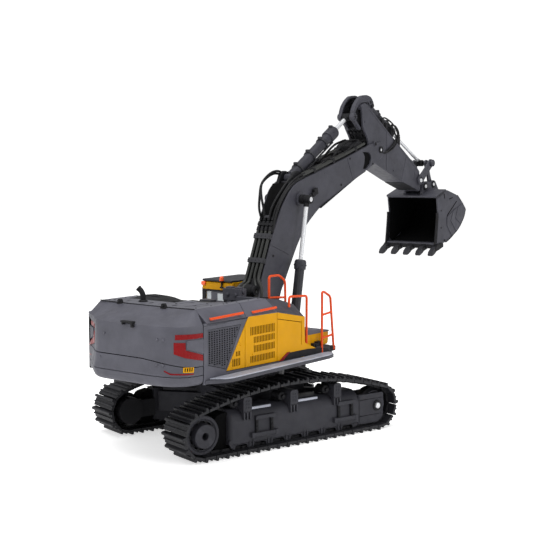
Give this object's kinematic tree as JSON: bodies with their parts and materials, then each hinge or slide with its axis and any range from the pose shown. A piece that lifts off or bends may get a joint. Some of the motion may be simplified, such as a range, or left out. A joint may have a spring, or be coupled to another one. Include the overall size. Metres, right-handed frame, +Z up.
{
  "type": "rc excavator",
  "caption": "Radio controlled tracked excavator with a swinging upper body, a two-piece hydraulic-style arm, a toothed bucket, rubber-look tracks, cab, handrails and steps.",
  "frame": {"origin": "on the swing axis, at the underside of the belly cover", "axes": "+X forward along the tracks, +Y to the left of the machine, +Z up"},
  "size_m": [0.7402, 0.3238, 0.4416],
  "materials": {
    "slate_panel": "satin slate grey moulding",
    "boom_grey": "satin dark grey moulding",
    "safety_yellow": "semi-gloss yellow",
    "black_plastic": "matte black",
    "frame_grey": "satin dark grey moulding",
    "track_black": "matte black",
    "rail_orange": "satin orange paint",
    "tread_silver": "silver paint",
    "chrome_rod": "polished",
    "bare_steel": "machined",
    "circuit_green": "solder mask"
  },
  "bodies": {
    "undercarriage": {"centre_frame": "frame_grey", "belly_cover": "frame_grey", "swing_ring": "bare_steel", "track_left": "track_black", "track_right": "track_black", "side_frame_left": "frame_grey", "side_frame_right": "frame_grey", "roller_bank_left": "black_plastic", "roller_bank_right": "black_plastic", "drive_motor_left": "frame_grey", "drive_motor_right": "frame_grey", "idler_yoke_left": "frame_grey", "idler_yoke_right": "frame_grey"},
    "upper": {"upper_frame": "frame_grey", "swing_motor": "bare_steel", "counterweight": "slate_panel", "deck_cover": "slate_panel", "side_panel_right": "slate_panel", "grille_right": "black_plastic", "yellow_panel_right": "safety_yellow", "side_panel_left": "slate_panel", "grille_left": "black_plastic", "yellow_panel_left": "safety_yellow", "tank_cover": "slate_panel", "front_box": "safety_yellow", "step_right": "tread_silver", "step_left": "tread_silver", "deck_rail_rear": "rail_orange", "deck_rail_front": "rail_orange", "handrail_inner": "rail_orange", "handrail_outer": "rail_orange", "handrail_front": "rail_orange", "exhaust_stack": "black_plastic", "cab_shell": "safety_yellow", "cab_roof": "black_plastic", "battery": "black_plastic", "control_board": "circuit_green", "boom_foot_pin": "bare_steel"},
    "swing_pinion": {"swing_pinion": "bare_steel"},
    "sprocket_left": {"sprocket_left": "black_plastic"},
    "sprocket_right": {"sprocket_right": "black_plastic"},
    "idler_left": {"idler_left": "black_plastic"},
    "idler_right": {"idler_right": "black_plastic"},
    "engine_hood": {"engine_hood": "black_plastic"},
    "cab_door": {"cab_door": "safety_yellow"},
    "power_switch": {"power_switch": "black_plastic"},
    "boom": {"boom": "boom_grey", "stick_pin": "bare_steel"},
    "lift_barrel_left": {"lift_barrel_left": "boom_grey"},
    "lift_barrel_right": {"lift_barrel_right": "boom_grey"},
    "lift_rod_left": {"lift_rod_left": "chrome_rod"},
    "lift_rod_right": {"lift_rod_right": "chrome_rod"},
    "stick": {"stick": "boom_grey"},
    "stick_barrel": {"stick_barrel": "boom_grey"},
    "stick_rod": {"stick_rod": "chrome_rod"},
    "bucket": {"bucket": "boom_grey"},
    "bucket_barrel": {"bucket_barrel": "boom_grey"},
    "bucket_rod": {"bucket_rod": "chrome_rod"},
    "rocker": {"rocker": "boom_grey"},
    "tipping_link": {"tipping_link": "boom_grey"}
  },
  "joints": [
    {"name": "swing", "type": "hinge", "parent": "undercarriage", "child": "upper", "pos_m": [0, 0, 0.054], "axis": [0, 0, 1], "continuous": true},
    {"name": "swing_pinion_spin", "type": "hinge", "parent": "upper", "child": "swing_pinion", "pos_m": [-0.04819, -0.01333, 0.06], "axis": [0, 0, 1], "continuous": true},
    {"name": "sprocket_left_spin", "type": "hinge", "parent": "undercarriage", "child": "sprocket_left", "pos_m": [-0.136, 0.0845, 0.001], "axis": [0, 1, 0], "continuous": true},
    {"name": "idler_left_spin", "type": "hinge", "parent": "undercarriage", "child": "idler_left", "pos_m": [0.135, 0.0845, 0.001], "axis": [0, 1, 0], "continuous": true},
    {"name": "sprocket_right_spin", "type": "hinge", "parent": "undercarriage", "child": "sprocket_right", "pos_m": [-0.136, -0.0845, 0.001], "axis": [0, 1, 0], "continuous": true},
    {"name": "idler_right_spin", "type": "hinge", "parent": "undercarriage", "child": "idler_right", "pos_m": [0.135, -0.0845, 0.001], "axis": [0, 1, 0], "continuous": true},
    {"name": "engine_hood_hinge", "type": "hinge", "parent": "upper", "child": "engine_hood", "pos_m": [-0.07007, 0.005, 0.1507], "axis": [-0.2666, 0.9638, 0], "range_deg": [0, 60]},
    {"name": "cab_door_hinge", "type": "hinge", "parent": "upper", "child": "cab_door", "pos_m": [0.01499, 0.0996, 0.115], "axis": [0, 0, 1], "range_deg": [0, 80]},
    {"name": "power_switch_slide", "type": "slide", "parent": "upper", "child": "power_switch", "axis": [0.9638, 0.2666, 0], "range_m": [0, 0.005]},
    {"name": "boom_lift", "type": "hinge", "parent": "upper", "child": "boom", "pos_m": [0.00771, 0.00213, 0.095], "axis": [0.2666, -0.9638, 0], "range_deg": [-40, 4]},
    {"name": "lift_ram_left_swing", "type": "hinge", "parent": "upper", "child": "lift_barrel_left", "pos_m": [0.0479, 0.04437, 0.082], "axis": [0.2666, -0.9638, 0], "range_deg": [-42.93, 4.56]},
    {"name": "lift_ram_left_stroke", "type": "slide", "parent": "lift_barrel_left", "child": "lift_rod_left", "axis": [0.1656, 0.0458, 0.9851], "range_m": [-0.03488, 0.00394]},
    {"name": "lift_ram_right_swing", "type": "hinge", "parent": "upper", "child": "lift_barrel_right", "pos_m": [0.0639, -0.01345, 0.082], "axis": [0.2666, -0.9638, 0], "range_deg": [-42.93, 4.56]},
    {"name": "lift_ram_right_stroke", "type": "slide", "parent": "lift_barrel_right", "child": "lift_rod_right", "axis": [0.1656, 0.0458, 0.9851], "range_m": [-0.03488, 0.00394]},
    {"name": "stick_swing", "type": "hinge", "parent": "boom", "child": "stick", "pos_m": [0.28047, 0.07757, 0.3335], "axis": [0.2666, -0.9638, 0], "range_deg": [-45, 8]},
    {"name": "stick_ram_swing", "type": "hinge", "parent": "boom", "child": "stick_barrel", "pos_m": [0.08867, 0.02452, 0.293], "axis": [0.2666, -0.9638, 0], "range_deg": [-0.41, 0.92]},
    {"name": "stick_ram_stroke", "type": "slide", "parent": "stick_barrel", "child": "stick_rod", "axis": [0.8173, 0.226, 0.53], "range_m": [-0.0107, 0.05786]},
    {"name": "bucket_curl", "type": "hinge", "parent": "stick", "child": "bucket", "pos_m": [0.413, 0.11422, 0.2785], "axis": [0.2666, -0.9638, 0], "range_deg": [-25, 70]},
    {"name": "bucket_ram_swing", "type": "hinge", "parent": "stick", "child": "bucket_barrel", "pos_m": [0.26216, 0.07251, 0.402], "axis": [0.2666, -0.9638, 0], "range_deg": [-0.87, 1.89]},
    {"name": "bucket_ram_stroke", "type": "slide", "parent": "bucket_barrel", "child": "bucket_rod", "axis": [0.8569, 0.237, -0.4577], "range_m": [-0.03181, 0.01168]},
    {"name": "rocker_swing", "type": "hinge", "parent": "stick", "child": "rocker", "pos_m": [0.39372, 0.10889, 0.288], "axis": [0.2666, -0.9638, 0], "range_deg": [-16.39, 45.36]},
    {"name": "tipping_link_swing", "type": "hinge", "parent": "rocker", "child": "tipping_link", "pos_m": [0.42504, 0.11756, 0.315], "axis": [0.2666, -0.9638, 0], "range_deg": [-23.23, 8.49]}
  ],
  "couplings": [
    {"joint": "swing_pinion_spin", "follows": "swing", "ratio": 4},
    {"joint": "idler_left_spin", "follows": "sprocket_left_spin", "ratio": 1},
    {"joint": "idler_right_spin", "follows": "sprocket_right_spin", "ratio": 1},
    {"joint": "lift_ram_left_swing", "follows": "boom_lift", "ratio": 1.0658},
    {"joint": "lift_ram_left_stroke", "follows": "boom_lift", "m_per_rad": 0.04925},
    {"joint": "lift_ram_right_swing", "follows": "boom_lift", "ratio": 1.0658},
    {"joint": "lift_ram_right_stroke", "follows": "boom_lift", "m_per_rad": 0.04925},
    {"joint": "stick_ram_swing", "follows": "stick_swing", "ratio": -0.0137},
    {"joint": "stick_ram_stroke", "follows": "stick_swing", "m_per_rad": -0.073033},
    {"joint": "bucket_ram_swing", "follows": "bucket_curl", "ratio": 0.0227},
    {"joint": "bucket_ram_stroke", "follows": "bucket_curl", "m_per_rad": -0.02563},
    {"joint": "rocker_swing", "follows": "bucket_curl", "ratio": 0.6437},
    {"joint": "tipping_link_swing", "follows": "bucket_curl", "ratio": -0.3275}
  ]
}
